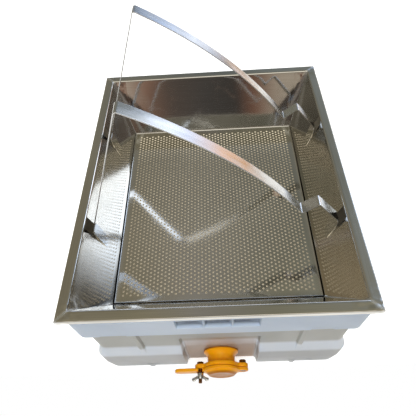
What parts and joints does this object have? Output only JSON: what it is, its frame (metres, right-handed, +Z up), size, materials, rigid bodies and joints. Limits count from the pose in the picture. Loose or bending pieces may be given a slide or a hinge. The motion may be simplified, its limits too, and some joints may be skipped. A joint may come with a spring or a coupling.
{
  "type": "honey uncapping tank",
  "caption": "Ribbed plastic honey tub with a drop-in stainless sieve tray, two lift-off strip rests for frames and a plastic swing gate.",
  "frame": {"origin": "on the ground under the middle of the tub", "axes": "+Z up, Y along the tank with the gate at -Y, X across it"},
  "size_m": [0.42, 0.5422, 0.482],
  "materials": {
    "polythene": "moulded natural polythene, milky and slightly translucent",
    "stainless": "bright cold-rolled stainless sheet",
    "sieve": "perforated stainless sheet",
    "strip": "satin stainless flat bar",
    "gate_plastic": "moulded orange-yellow plastic",
    "seal": "moulded rubber",
    "fastener": "bright plated steel"
  },
  "bodies": {
    "tank": {"tub": "polythene", "gate_body": "gate_plastic", "gate_back_nut": "gate_plastic", "gate_seal_ring": "seal", "gate_outer_gasket": "seal", "gate_inner_gasket": "seal", "pivot_bolt": "fastener", "pivot_washer": "fastener", "pivot_nut": "fastener", "clamp_bolt": "fastener", "clamp_washer": "fastener"},
    "tray": {"tray_front_wall": "stainless", "tray_rear_wall": "stainless", "tray_left_wall": "stainless", "tray_right_wall": "stainless", "sieve_plate": "sieve"},
    "front_rest": {"front_frame_rest": "strip"},
    "rear_rest": {"rear_frame_rest": "strip"},
    "cover": {"gate_cover": "gate_plastic"},
    "clamp_nut": {"wing_nut": "fastener"}
  },
  "joints": [
    {"name": "tray_lift", "type": "slide", "parent": "tank", "child": "tray", "axis": [0, 0, 1], "range_m": [0, 0.25]},
    {"name": "front_rest_lift", "type": "slide", "parent": "tray", "child": "front_rest", "axis": [0, 0, 1], "range_m": [0, 0.12]},
    {"name": "rear_rest_lift", "type": "slide", "parent": "tray", "child": "rear_rest", "axis": [0, 0, 1], "range_m": [0, 0.12]},
    {"name": "gate_cover_swing", "type": "hinge", "parent": "tank", "child": "cover", "pos_m": [0.0365, -0.268, 0.048], "axis": [0, -1, 0], "range_deg": [0, 75]},
    {"name": "wing_nut_turn", "type": "hinge", "parent": "tank", "child": "clamp_nut", "pos_m": [-0.0365, -0.278, 0.048], "axis": [0, -1, 0], "range_deg": [0, 540]}
  ]
}
